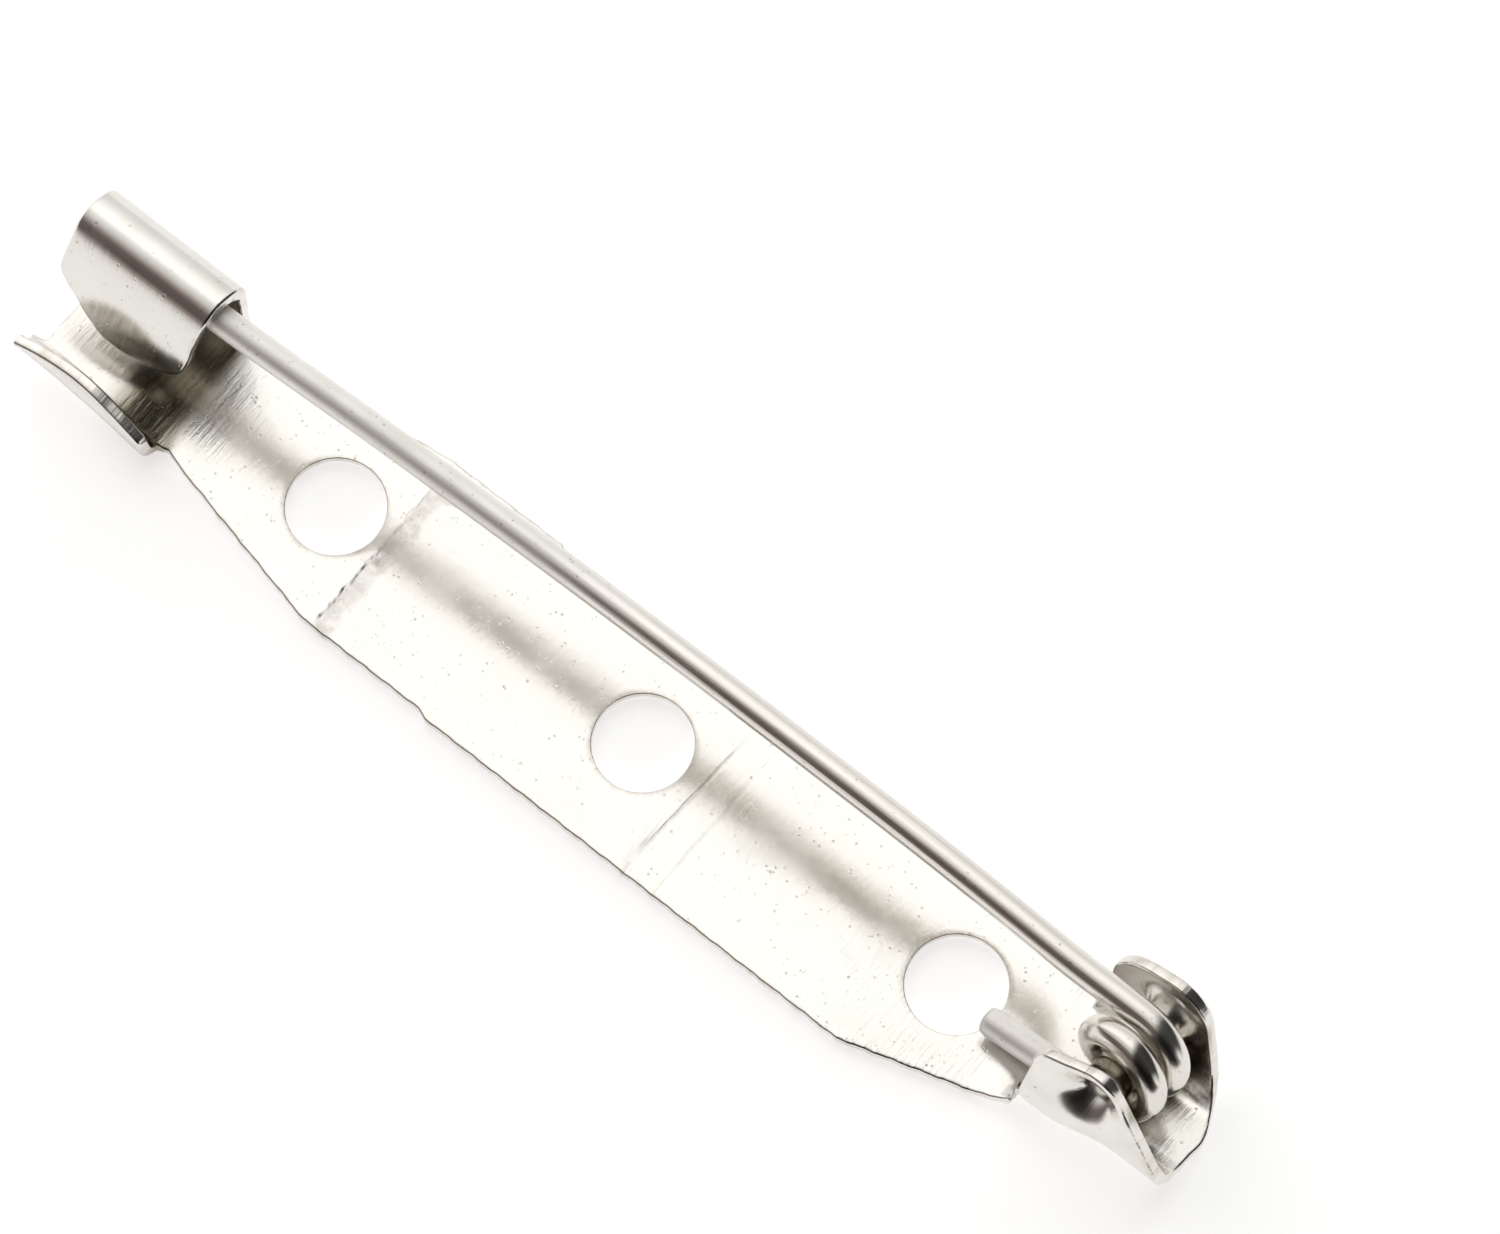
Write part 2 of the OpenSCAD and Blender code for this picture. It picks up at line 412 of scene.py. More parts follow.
@dataclass(frozen=True)
class Cloud:
    """An uneven pattern on the blank: its scale per millimetre, and its finer layers."""

    scale: Span
    layers: float
    roughness: float = 0.6

    def build(self, tree: Tree, flat: Socket) -> Socket:
        """Adds the pattern's nodes.

        Args:
            tree: The nodes to add to.
            flat: The blank's coordinates.

        Returns:
            The pattern's value.
        """
        stretch = tree.nodes.new("ShaderNodeMapping")
        stretch.inputs["Scale"].default_value = (*self.scale, 1.0)
        feed(tree, stretch.inputs["Vector"], flat)
        noise = tree.nodes.new("ShaderNodeTexNoise")
        noise.inputs["Scale"].default_value = 1.0
        noise.inputs["Detail"].default_value = self.layers
        noise.inputs["Roughness"].default_value = self.roughness
        feed(tree, noise.inputs["Vector"], stretch.outputs["Vector"])
        return noise.outputs["Fac"]


@dataclass(frozen=True)
class NickelFinish:
    """Bright nickel plate over metal with a drawn or brushed grain."""

    name: str
    bright: Colour = (0.84, 0.82, 0.78)
    dull: Colour = (0.7, 0.67, 0.62)
    worn: Colour = (0.52, 0.46, 0.38)
    # Dark brown for a real stain, and for painted shade and painted dark reflections under the hook, on its
    # lip and round the coil
    stain_and_shade_tint: Colour = (0.24, 0.2, 0.13)
    scraped: Colour = (0.42, 0.4, 0.38)
    # Paler tint painted on as sheen where the wire is rubbed
    rubbed_and_sheen: Colour = (0.98, 0.96, 0.92)
    pitted: Colour = (0.56, 0.51, 0.44)
    roughness: Span = (0.12, 0.26)
    rubbed_roughness: float = 0.38
    grain: GrainWay = GrainWay.ACROSS
    grain_strength: float = 0.34
    grain_depth: float = 0.03
    pit_strength: float = 0.25
    pit_depth: float = 0.02
    pits_per_mm: float = 5.2
    haze: Cloud = Cloud((0.35, 0.5), 3.0)
    patches: Cloud = Cloud((2.6, 2.6), 4.0)

    def build(self) -> bpy.types.Material:
        """Builds the finish's node material.

        Returns:
            The new material.
        """
        made = bpy.data.materials.new(self.name)
        made.use_nodes = True
        tree = made.node_tree
        shader = tree.nodes["Principled BSDF"]
        shader.inputs["Metallic"].default_value = 1.0
        blank = tree.nodes.new("ShaderNodeUVMap")
        blank.uv_map = "blank"
        flat = blank.outputs["UV"]
        grain = Cloud(self.grain.value, 5.0).build(tree, flat)
        haze = self.haze.build(tree, flat)
        patches = self.patches.build(tree, flat)
        sound = self._sound(tree, flat, patches)
        rubbed_and_sheen = read_shade(tree, "rubbed_and_sheen")
        colour = blend(tree, self.dull, self.bright, remap(tree, haze, (0.3, 0.62), (0.35, 1.0)))
        layers = (
            ("edge", self.worn, patches, (0.45, 0.7), (0.0, 0.45)),
            # This dark brown layer is partly a real stain and partly painted shade and painted reflection
            ("stain_and_shade", self.stain_and_shade_tint, grain, (0.35, 0.65), (0.75, 1.0)),
            ("wear", self.scraped, patches, (0.38, 0.6), (0.4, 1.1)),
        )
        for shade, tint, pattern, given, wanted in layers:
            share = compute(tree, "MULTIPLY", read_shade(tree, shade), remap(tree, pattern, given, wanted))
            colour = blend(tree, colour, tint, share)
        # A paler tint painted on as sheen where the wire is rubbed; the rubbed roughness below is real
        colour = blend(tree, colour, self.rubbed_and_sheen, rubbed_and_sheen)
        feed(tree, shader.inputs["Base Color"], blend(tree, self.pitted, colour, sound))
        plain = remap(tree, haze, (0.3, 0.7), self.roughness)
        extra = remap(tree, rubbed_and_sheen, (0.0, 1.0), (0.0, self.rubbed_roughness))
        feed(tree, shader.inputs["Roughness"], compute(tree, "ADD", plain, extra))
        lean = bump(tree, read_shade(tree, "sag"), 1.0, 1.0)
        brushed = bump(tree, grain, self.grain_strength, self.grain_depth * MM, lean)
        pitted = bump(tree, sound, self.pit_strength, self.pit_depth * MM, brushed)
        feed(tree, shader.inputs["Normal"], pitted)
        return made

    def _sound(self, tree: Tree, flat: Socket, patches: Socket) -> Socket:
        """Adds small pits that gather in patches.

        Args:
            tree: The nodes to add to.
            flat: The blank's coordinates.
            patches: The pattern of the patches.

        Returns:
            The value 1 on sound plating and 0 in a pit.
        """
        cells = tree.nodes.new("ShaderNodeTexVoronoi")
        cells.inputs["Scale"].default_value = self.pits_per_mm
        feed(tree, cells.inputs["Vector"], flat)
        shallow = remap(tree, cells.outputs["Distance"], (0.06, 0.24), (0.0, 1.0))
        spared = remap(tree, patches, (0.5, 0.66), (1.0, 0.0))
        return compute(tree, "MAXIMUM", shallow, spared)


@dataclass(frozen=True)
class Scratch:
    """A thin line across the bar, by its place and by how far it skews along the bar."""

    u: float
    skew: float

    def at(self, u: Array, v: Array, width: float) -> Array:
        """Gives the line's share at each place, for a line of the given width."""
        return np.exp(-((u - self.u - self.skew * v) / width) ** 2)


@dataclass(frozen=True)
class HingeSeat:
    """Where the trough leans and where the coil's axis lies in it, for the bar and the pin."""

    axis_x: float
    axis_h: float = 2.35
    trough_y: float = 0.38
    trough_z: float = 0.2
    lean: float = 13.0

    def sideways(self) -> Array:
        """Gives the direction of the coil's axis, towards the far side."""
        lean = math.radians(self.lean)
        return np.array([0.0, math.cos(lean), -math.sin(lean)])


@dataclass
class PressedBar:
    """The sheet bar: plate, joggled end section, flange, curled hook, and trough with ears."""

    finish: NickelFinish
    seat: HingeSeat
    thick: float = 0.35
    hole_gap: float = 10.42
    hole_r: float = 1.34
    # Plate
    near_edge: float = -3.05
    far_edge: float = 2.78
    die_step: float = 0.12
    die_step_x: Span = (-5.15, -4.85)
    taper_start: float = 8.9
    plate_lean: float = 0.085
    halfway: Span = (-1.0, 1.0)
    # Catch
    end_x: float = -19.25
    catch_x: float = -15.15
    hook_x: Span = (-19.55, -15.3)
    end_lift: float = 0.5
    ramp_x: Span = (-16.95, -14.75)
    run_out_x: Span = (-15.0, -12.6)
    run_out: float = 0.09
    foot_r: float = 0.6
    end_sides: Span = (-2.16, 2.37)
    roof_r: float = 0.92
    roof_z: float = 3.55
    roof_turn: float = 140.0
    tongue_len: float = 1.4
    tongue_turn: float = 16.0
    lip_len: float = 1.4
    lip_turn: float = 17.0
    twist_len: float = 2.2
    twist: float = -0.1
    flange_top: float = 1.6
    flange_splay: float = 0.06
    flange_bow: float = 0.1
    end_narrow: float = 0.17
    # Hinge
    trough_len: float = 4.3
    trough_behind: float = 1.9
    trough_half: float = 1.85
    trough_corner: float = 1.2
    bend_run: Span = (-0.4, 1.0)
    lean_run: Span = (-1.2, 0.9)
    ear_run: Span = (-0.19, -0.16)
    flare_run: Span = (0.8, 2.9)
    flare: float = 0.36
    mouth_r: float = 1.2
    collar_r: float = 0.49
    collar_depth: float = 1.1
    collar_thinning: float = 0.28
    blank_hole_r: float = 0.18
    # Marks of the die and a real stain; the painted dark reflection on the lip's back is placed from the
    # lip's end
    groove_x: float = -8.78
    burr_at: Span = (-8.5, 2.15)
    crumb_at: Span = (-8.2, 2.0)
    stain_at: Span = (-8.72, 2.4)
    lip_shade_at: Span = (-17.25, -0.1)
    lip_shade_reach: Span = (1.8, 1.5)
    line: Scratch = Scratch(1.95, 0.05)
    faint: Scratch = Scratch(2.85, 0.02)
    # Mesh, with where each pitch of the blank's grid starts, and the pitch; the last row ends the grid
    along: tuple[Span, ...] = ((-19.5, 0.2), (-12.4, 0.3), (-8.95, 0.045), (-8.1, 0.3), (1.8, 0.04),
                               (3.0, 0.3), (12.0, 0.13), (18.0, 0.0))
    across: tuple[Span, ...] = ((-5.2, 0.16), (-3.2, 0.13), (2.9, 0.12), (9.3, 0.0))
    edge_pitch: float = 0.09
    hole_sides: int = 96
    collar_sides: int = 48
    collar_rings: int = 13
    edge_rim: Rim = Rim(front=0.07, back=0.1, inset=0.13)
    hole_rim: Rim = Rim(front=0.03, back=0.17, inset=0.2)
    collar_rim: Rim = Rim(front=0.05, back=0.05, inset=0.07)
    rim_gap: float = 0.055
    mouth_gap: float = 0.06
    ring_gap: float = 0.13

    def __post_init__(self) -> None:
        """Works out the sizes that follow from the others."""
        self.half = self.thick / 2
        self.near_root = self.end_sides[0] + self.foot_r
        self.far_root = self.end_sides[1] - self.foot_r
        foot_mid = self.foot_r - self.half
        roof_mid = self.roof_r - self.half
        foot_len = foot_mid * math.pi / 2
        wall_len = self.roof_z - self.end_lift - self.foot_r
        roof_len = roof_mid * math.radians(self.roof_turn)
        self.hook_len = foot_len + wall_len + roof_len + self.tongue_len + self.lip_len
        self.hook_bend = BendChain((foot_len, wall_len, roof_len, self.tongue_len, self.lip_len),
                                   (90.0, 0.0, self.roof_turn, self.tongue_turn, self.lip_turn))
        self.flange_len = foot_len + self.flange_top - self.end_lift - self.foot_r
        self.flange_bend = BendChain((foot_len, 1.0), (90.0, 0.0))
        self.corner_y = self.trough_half - self.trough_corner
        self.corner_len = (self.trough_corner - self.half) * math.pi / 2
        self.trough_x = self.seat.axis_x - self.trough_behind
        self.floor_end = self.trough_x + self.trough_len

    def ear_rows(self, side: Side) -> list[Triple]:
        """Lists one ear's corners from its root in front, over its lobe, to the floor's end.

        Args:
            side: The ear's side; the far one is rounder and shorter than the near one.

        Returns:
            Each corner's place along the bar, distance out from the trough's middle, and radius.
        """
        x = self.trough_x
        root = [(x - 0.03, 1.4, 0.03), (x + 0.04, 1.5, 0.03)]
        if side is Side.NEAR:
            return root + [(x + 0.05, 3.8, 0.8), (x + 2.2, 4.85, 0.7), (x + 4.32, 1.95, 0.3)]
        return root + [(x, 4.4, 1.3), (x + 2.75, 5.0, 1.2), (x + 3.5, 2.1, 0.4)]

    def outline(self) -> list[Corner]:
        """Lists the blank's corners counter-clockwise, from the end section's near corner.

        Returns:
            The whole outline's corners.
        """
        near_root, far_root = self.near_root, self.far_root
        catch, taper, trough, middle = self.catch_x, self.taper_start, self.trough_x, self.seat.trough_y
        near_step, far_step = self.near_edge + self.die_step, self.far_edge + self.die_step
        step_foot, step_top = self.die_step_x
        flange_v = near_root - self.flange_len
        hook_v = far_root + self.hook_len
        left, right = self.hook_x
        rows = [
            (self.end_x, near_root + 0.1, 0.08),
            (self.end_x - 0.38, near_root - 0.02, 0.05),
            (self.end_x - 0.4, flange_v + 0.02, 0.06),
            (self.end_x + 1.9, flange_v - 0.3, 3.0),
            (catch - 0.05, flange_v + 0.12, 0.15),
            (catch, near_root - 0.12, 0.06),
            (catch + 0.3, near_root - 0.02, 0.12),
            (catch + 0.75, near_root - 0.18, 0.3),
            (-taper - 0.2, near_step, 0.4),
            (step_foot, near_step, 0.0),
            (step_top, self.near_edge, 0.0),
            (taper, self.near_edge, 0.4),
            (trough - 0.12, -1.68, 0.04),
        ]
        rows += [(u, middle - out, radius) for u, out, radius in self.ear_rows(Side.NEAR)]
        rows.append((self.floor_end + 0.06, middle + 0.3, 1.2))
        rows += [(u, middle + out, radius) for u, out, radius in reversed(self.ear_rows(Side.FAR))]
        rows += [
            (trough - 0.12, 2.16, 0.04),
            (taper, self.far_edge, 0.4),
            (step_top, self.far_edge, 0.0),
            (step_foot, far_step, 0.0),
            (-taper, far_step, 0.4),
            (catch + 0.6, far_root + 0.43, 0.3),
            (right + 0.02, far_root + 0.36, 0.12),
            (right + 0.27, hook_v - self.tongue_len - self.lip_len - 1.2, 1.5),
            (right, hook_v - 0.75, 1.0),
            (left + 2.3, hook_v + 0.12, 2.2),
            (left - 0.04, hook_v - 1.42, 0.25),
            (left, far_root + 0.7, 0.15),
            (self.end_x, far_root + 0.2, 0.15),
        ]
        return [Corner(*row) for row in rows]

    def grid(self) -> Array:
        """Lays a grid over the blank, closer together where it bends or is marked.

        Returns:
            One row of u and v for each grid point.
        """
        lines: list[Array] = []
        for rows in (self.along, self.across):
            stretches = zip(rows, rows[1:])
            parts = [np.arange(start, end, pitch) for (start, pitch), (end, _) in stretches]
            lines.append(np.concatenate(parts))
        return np.stack([a.ravel() for a in np.meshgrid(*lines)], axis=1)

    def place(self, blank: Array) -> Array:
        """Bends the blank: gives a row of x, y and z for each row of u, v and w."""
        share = smooth_step(*self.halfway, blank[:, 0])[:, None]
        return self._catch_place(blank) * (1 - share) + self._hinge_place(blank) * share

    def _catch_place(self, blank: Array) -> Array:
        """Bends the catch half: the ramp, the flange and the hook.

        Args:
            blank: One row of u, v and w for each point of the flat blank.

        Returns:
            One row of x, y and z for each point.
        """
        u, v, w = blank.T
        lift, slope = self._ramp(u)
        narrow = self.end_narrow * (1 - smooth_step(self.end_x, self.catch_x, u))
        base = self.half + lift
        flat = np.stack([u - w * slope, v + narrow * smooth_step(0.0, self.near_root, v), base + w], axis=1)
        hook = self._hook_place(blank, lift)
        # The flange's top stays level while its foot follows the ramp
        out, up, heading = self.flange_bend.at(np.maximum(self.near_root - v, 0.0))
        middle = (self.end_x + self.catch_x) / 2
        reach = ((u - middle) / (self.catch_x - middle)) ** 2
        out = out + (self.flange_splay * reach - self.flange_bow * (1 - reach)) * smooth_step(0.2, 1.0, up)
        up = up + (self.end_lift - lift) * smooth_step(0.3, 1.0, up)
        flange = np.stack([u, self.near_root + narrow - out + w * np.sin(heading),
                           base + up + w * np.cos(heading)], axis=1)
        on_hook, on_flange = (v > self.far_root)[:, None], (v < self.near_root)[:, None]
        curved = np.where(on_hook, hook, np.where(on_flange, flange, flat))
        bent = 1 - smooth_step(self.catch_x - 0.05, self.catch_x + 0.3, u)
        # The hook's own edge bends in full, also where it bulges past the end section
        bulge = smooth_step(0.5, 1.0, v - self.far_root) * (u < self.catch_x + 0.25)
        bent = np.maximum(bent, bulge)[:, None]
        return flat * (1 - bent) + curved * bent

    def _hook_place(self, blank: Array, lift: Array) -> Array:
        """Curls the hook over, with a top that stays level while its foot follows the ramp.

        Args:
            blank: One row of u, v and w for each point of the flat blank.
            lift: The ramp's lift at each place.

        Returns:
            One row of x, y and z for each point.
        """
        u, v, w = blank.T
        out, up, heading = self.hook_bend.at(np.maximum(v - self.far_root, 0.0))
        up = up + (self.end_lift - lift) * smooth_step(self.foot_r, self.foot_r + 1.8, up)
        tip = np.maximum(v - self.far_root - self.hook_len + self.twist_len, 0.0)
        out = out + self.twist * tip ** 2 * (self.catch_x - u) / (self.catch_x - self.end_x)
        return np.stack([u, self.far_root + out - w * np.sin(heading),
                         self.half + lift + up + w * np.cos(heading)], axis=1)

    def _ramp(self, u: Array) -> tuple[Array, Array]:
        """Follows the ramp from the plate up to the end section.

        Args:
            u: Places along the bar.

        Returns:
            The lift and its slope along the bar at each place.
        """
        top, foot = self.ramp_x
        first, last = self.run_out_x
        share = np.clip((u - top) / (foot - top), 0.0, 1.0)
        steep = self.end_lift - self.run_out
        rest = 1 - np.clip((u - first) / (last - first), 0.0, 1.0)
        lift = steep * (1 - share ** 2 * (3 - 2 * share)) + self.run_out * rest ** 2
        slope = -6 * steep * share * (1 - share) / (foot - top)
        return lift, slope - 2 * self.run_out * rest * (rest < 1) / (last - first)

    def _trough_section(self, q: Array, b: Array) -> tuple[Array, Array, Array]:
        """Follows the trough's half section, bent by a share of its full turn.

        Args:
            q: Distances out from the trough's middle line, along the sheet.
            b: The share of the full bend, from 0 to 1.

        Returns:
            The distance out, the height and the heading in radians.
        """
        curve = np.maximum(b, 1e-4) * (math.pi / 2) / self.corner_len
        turn = curve * np.clip(q - self.corner_y, 0.0, self.corner_len)
        rest = np.maximum(q - self.corner_y - self.corner_len, 0.0)
        out = np.minimum(q, self.corner_y) + np.sin(turn) / curve + rest * np.cos(turn)
        up = (1 - np.cos(turn)) / curve + rest * np.sin(turn)
        return out, up, turn

    def _ease(self, run: Span, u: Array) -> Array:
        """Eases from 0 to 1 along the bar, over a run that is measured from the trough's start."""
        return smooth_step(self.trough_x + run[0], self.trough_x + run[1], u)

    def _hinge_place(self, blank: Array) -> Array:
        """Bends the hinge half: the trough, the ears and their collars.

        Args:
            blank: One row of u, v and w for each point of the flat blank.

        Returns:
            One row of x, y and z for each point.
        """
        u, v, w = blank.T
        side = np.where(v < self.seat.trough_y, -1.0, 1.0)
        q = np.abs(v - self.seat.trough_y)
        part = self._trough_section(q, self._ease(self.bend_run, u))
        full = self._trough_section(q, np.ones_like(u))
        ear = smooth_step(1.3, 1.55, q) * self._ease(self.ear_run, u)
        ear *= (u > self.trough_x - 0.1) | (q > 2.15)
        out, up, turn = (x * (1 - ear) + y * ear for x, y in zip(part, full))
        # The mouth of the trough flares out low down, where the plate runs into it
        flare = (1 - self._ease(self.flare_run, u)) * smooth_step(1.0, 1.6, q)
        out = out + self.flare * flare * between((0.0, 0.3), (0.7, 1.9), up)
        x, out, up = self._draw_collar(u, out, up, turn, w, q)
        local_y = side * out
        local_z = self.half + up
        # The lean turns about the floor's outer face, so the flat plate keeps its place
        tip = np.maximum(self._ease(self.lean_run, u), ear)
        angle = math.radians(self.seat.lean) * tip
        y = self.seat.trough_y + local_y * np.cos(angle) + local_z * np.sin(angle)
        z = self.seat.trough_z * tip ** 0.6 - local_y * np.sin(angle) + local_z * np.cos(angle)
        return np.stack([x, y, z], axis=1)

    def _draw_collar(self, u: Array, out: Array, up: Array, turn: Array, w: Array,
                     q: Array) -> tuple[Array, Array, Array]:
        """Draws the sheet inwards round the hinge axis, as a punch does.

        Args:
            u: Places along the bar.
            out: Distances out of the bent section.
            up: Heights of the bent section.
            turn: Headings of the bent section.
            w: Heights over the sheet's middle surface.
            q: Distances out along the sheet.

        Returns:
            The place along the bar, the distance out and the height of each point.
        """
        across = u - self.seat.axis_x
        rise = up + self.half - self.seat.axis_h
        dist = np.hypot(across, rise)
        drawn = (dist < self.mouth_r) & (q > self.corner_y + self.corner_len)
        away = np.maximum(dist, 1e-6)
        arc_r = self.mouth_r - self.collar_r
        arc_len = arc_r * math.pi / 2
        straight = self.collar_depth - self.half - arc_r
        stretch = (arc_len + straight) / (self.mouth_r - self.blank_hole_r)
        s = np.maximum(self.mouth_r - dist, 0.0) * stretch
        angle = np.clip(s / arc_r, 0.0, math.pi / 2)
        depth = arc_r * (1 - np.cos(angle)) + np.maximum(s - arc_len, 0.0)
        thin = w * (1 - self.collar_thinning * np.sin(angle))
        ring = self.mouth_r + (thin - arc_r) * np.sin(angle)
        x = np.where(drawn, self.seat.axis_x + ring * across / away, u)
        out = np.where(drawn, out - depth - thin * np.cos(angle), out - w * np.sin(turn))
        up = np.where(drawn, self.seat.axis_h + ring * rise / away - self.half, up + w * np.cos(turn))
        return x, out, up

    def collar_places(self) -> list[Span]:
        """Gives the collars' centres on the flat blank."""
        q = self.corner_y + self.corner_len + self.seat.axis_h - self.trough_corner
        return [(self.seat.axis_x, self.seat.trough_y + side.value * q) for side in Side]

    def relief(self, u: Array, v: Array) -> Array:
        """Gives the small dents and marks of the die on the front face.

        Args:
            u: Places along the bar.
            v: Places across it.

        Returns:
            Heights to add, in millimetres.
        """
        on_plate = between((-3.3, -3.0), (2.7, 3.1), v)
        jag = ripple(v, ((0.03, 0.9, 0.2), (0.025, 0.53, 1.7), (0.015, 0.31, 0.9)))
        breaks = smooth_step(-0.01, 0.02, ripple(v, ((0.02, 0.43, 1.0), (0.015, 0.29, 0.3))))
        past = u - self.groove_x
        groove = smooth_step(-0.05, 0.05, past + jag) * (1 - smooth_step(0.1, 0.5, past + 0.6 * jag))
        depth = 0.013 + 0.013 * breaks * (1 - smooth_step(-1.2, 0.8, v))
        burr = spot(u, v, self.burr_at, (0.22, 0.16))
        burr += 0.7 * spot(u, v, self.crumb_at, (0.12, 0.12))
        line = self.line.at(u, v, 0.04) * (1 - smooth_step(1.0, 2.2, v))
        marks = 0.014 * line + 0.006 * self.faint.at(u, v, 0.05)
        return on_plate * (0.07 * burr - depth * groove - marks)

    def wear(self, u: Array, v: Array) -> Array:
        """Gives how far the die has scraped the finish dull.

        Args:
            u: Places along the bar.
            v: Places across it.

        Returns:
            The wear, from 0 to 1.
        """
        right = u + ripple(v, ((0.05, 1.1, 0.5), (0.03, 0.43, 1.1)))
        band = smooth_step(-8.82, -8.74, u) * (1 - smooth_step(-8.4, -8.16, right))
        band *= 1 - smooth_step(1.9, 2.2, v)
        line = self.line.at(u, v, 0.04) * (1 - smooth_step(1.0, 2.2, v))
        faint = self.faint.at(u, v, 0.035) * (1 - smooth_step(-0.6, 1.4, v))
        return np.clip(0.5 * band + 0.55 * line + 0.35 * faint, 0.0, 1.0)

    def build(self) -> bpy.types.Object:
        """Cuts the blank, rounds its edges, bends it and makes the mesh.

        Returns:
            The bar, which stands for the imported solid.
        """
        edge = round_outline(self.outline(), self.edge_pitch)
        bump_out = ripple(edge[:, 0] + 0.7 * edge[:, 1], ((0.01, 0.93, 0.4), (0.005, 0.41, 2.0)))
        on_flange = (edge[:, 1] < self.end_sides[0] + 0.2) & (edge[:, 0] < self.catch_x)
        on_ear = (np.abs(edge[:, 1] - self.seat.trough_y) > 1.9) & (edge[:, 0] > self.trough_x)
        bump_out[on_flange | on_ear] *= 0.2
        loops = [(edge + inward(edge) * bump_out[:, None], self.edge_rim)]
        for i in (-1, 0, 1):
            loops.append((self._ring(i * self.hole_gap, 0.0, self.hole_r, self.hole_sides), self.hole_rim))
        for u, v in self.collar_places():
            loops.append((self._ring(u, v, self.blank_hole_r, self.collar_sides), self.collar_rim))
        rims = [[(loop + inward(loop) * d, w) for d, w in rim.profile(self.half)] for loop, rim in loops]
        flat, tri = self._fill([rim[0][0] for rim in rims])
        return self._assemble(rims, flat, tri)

    @staticmethod
    def _ring(u: float, v: float, radius: float, count: int) -> Array:
        """Lists a hole's points clockwise, so that its inside is the sheet."""
        turn = -2 * math.pi * np.arange(count) / count
        return np.stack([u + radius * np.cos(turn), v + radius * np.sin(turn)], axis=1)

    def _fill(self, starts: list[Array]) -> tuple[Array, Array]:
        """Fills the blank between its inset rims with triangles.

        Args:
            starts: The innermost line of each rim, the outline's first.

        Returns:
            All points, the rims' first, and the triangles between them.
        """
        grid = self.grid()
        grid = grid[inside(starts[0], grid)]
        rings: list[Array] = []
        for u, v in self.collar_places():
            grid = grid[np.hypot(grid[:, 0] - u, grid[:, 1] - v) >= self.mouth_r + 2 * self.mouth_gap]
            inner, outer = self.blank_hole_r + self.ring_gap, self.mouth_r + self.mouth_gap
            for radius in np.linspace(inner, outer, self.collar_rings):
                rings.append(self._ring(u, v, float(radius), self.collar_sides))
        free = np.concatenate([grid] + rings)
        rims = np.concatenate(starts)
        gap = np.full(len(free), np.inf)
        for u, v in rims:
            gap = np.minimum(gap, np.hypot(free[:, 0] - u, free[:, 1] - v))
        keep = gap > self.rim_gap
        for ring in starts[1:]:
            keep &= ~inside(ring, free)
        points = np.concatenate([rims, free[keep]])
        edges: list[tuple[int, int]] = []
        for ring in starts:
            first = len(edges)
            edges.extend((first + k, first + (k + 1) % len(ring)) for k in range(len(ring)))
        result = delaunay_2d_cdt([Vector(p) for p in points.tolist()], edges, [], 0, 1e-6, True)
        made, triangles, origin = result[0], result[2], result[3]
        lookup = np.array([o[0] if o else -1 for o in origin])
        tri = lookup[np.array([t for t in triangles if len(t) == 3])]
        tri = tri[(tri >= 0).all(axis=1)]
        centre = points[tri].mean(axis=1)
        good = inside(starts[0], centre)
        for ring in starts[1:]:
            good &= ~inside(ring, centre)
        tri = tri[good]
        a, b, c = (points[tri[:, k]] for k in range(3))
        area = (b[:, 0] - a[:, 0]) * (c[:, 1] - a[:, 1]) - (b[:, 1] - a[:, 1]) * (c[:, 0] - a[:, 0])
        tri[area < 0] = tri[area < 0][:, ::-1]
        LOG.info("blank: %d points, %d triangles, %d made by the fill", len(points), len(tri), len(made))
        return points, tri

    def _assemble(self, rims: list[list[tuple[Array, float]]], flat: Array, tri: Array) -> bpy.types.Object:
        """Joins the front face, the back face and the rims, and bends them.

        Args:
            rims: The lines of each rim and their heights, from the front face to the back.
            flat: The points of the filled blank.
            tri: The triangles of the filled blank.

        Returns:
            The finished object.
        """
        count = len(flat)
        front_w = self.half + self.relief(flat[:, 0], flat[:, 1])
        parts = [np.column_stack([flat, front_w]), np.column_stack([flat, np.full(count, -self.half)])]
        faces = tri.tolist() + (tri[:, ::-1] + count).tolist()
        next_id = 2 * count
        first = 0
        for rim in rims:
            size = len(rim[0][0])
            rows = [np.arange(first, first + size)]
            for line, w in rim[1:-1]:
                parts.append(np.column_stack([line, np.full(size, w)]))
                rows.append(np.arange(next_id, next_id + size))
                next_id += size
            rows.append(rows[0] + count)
            for upper, lower in zip(rows, rows[1:]):
                quads = np.stack([upper, lower, np.roll(lower, -1), np.roll(upper, -1)], axis=1)
                faces += quads.tolist()
            first += size
        blank = np.concatenate(parts)
        u, v, w = blank.T
        bar = make_object("bar_sheet", self.place(blank), faces)
        lay_map(bar, "blank", blank[:, :2])
        lay_shade(bar, "edge", np.arange(len(blank)) >= 2 * count)
        lay_shade(bar, "sag", self.sag(u, v))
        lay_shade(bar, "wear", self.wear(u, v))
        # Dark brown: a real stain, and painted shade and painted dark reflections
        lay_shade(bar, "stain_and_shade", self.stain_and_shade(u, v, w))
        return bar

    def stain_and_shade(self, u: Array, v: Array, w: Array) -> Array:
        """Gives the dark brown: painted shade and reflections under the hook, on its lip and round the
        coil, and a real stain.

        Args:
            u: Places along the bar.
            v: Places across the flat blank.
            w: Heights over the sheet's middle surface, below 0 on the back face.

        Returns:
            The share of the dark brown, from 0 to 1.
        """
        # Painted shadow and painted dark reflection of the hook, on the ramp under it
        ramp = smooth_step(-17.3, -16.3, u) * (1 - smooth_step(-15.3, -14.7, u + 0.06 * v))
        ramp *= between((-2.4, -1.8), (1.6, 2.2), v)
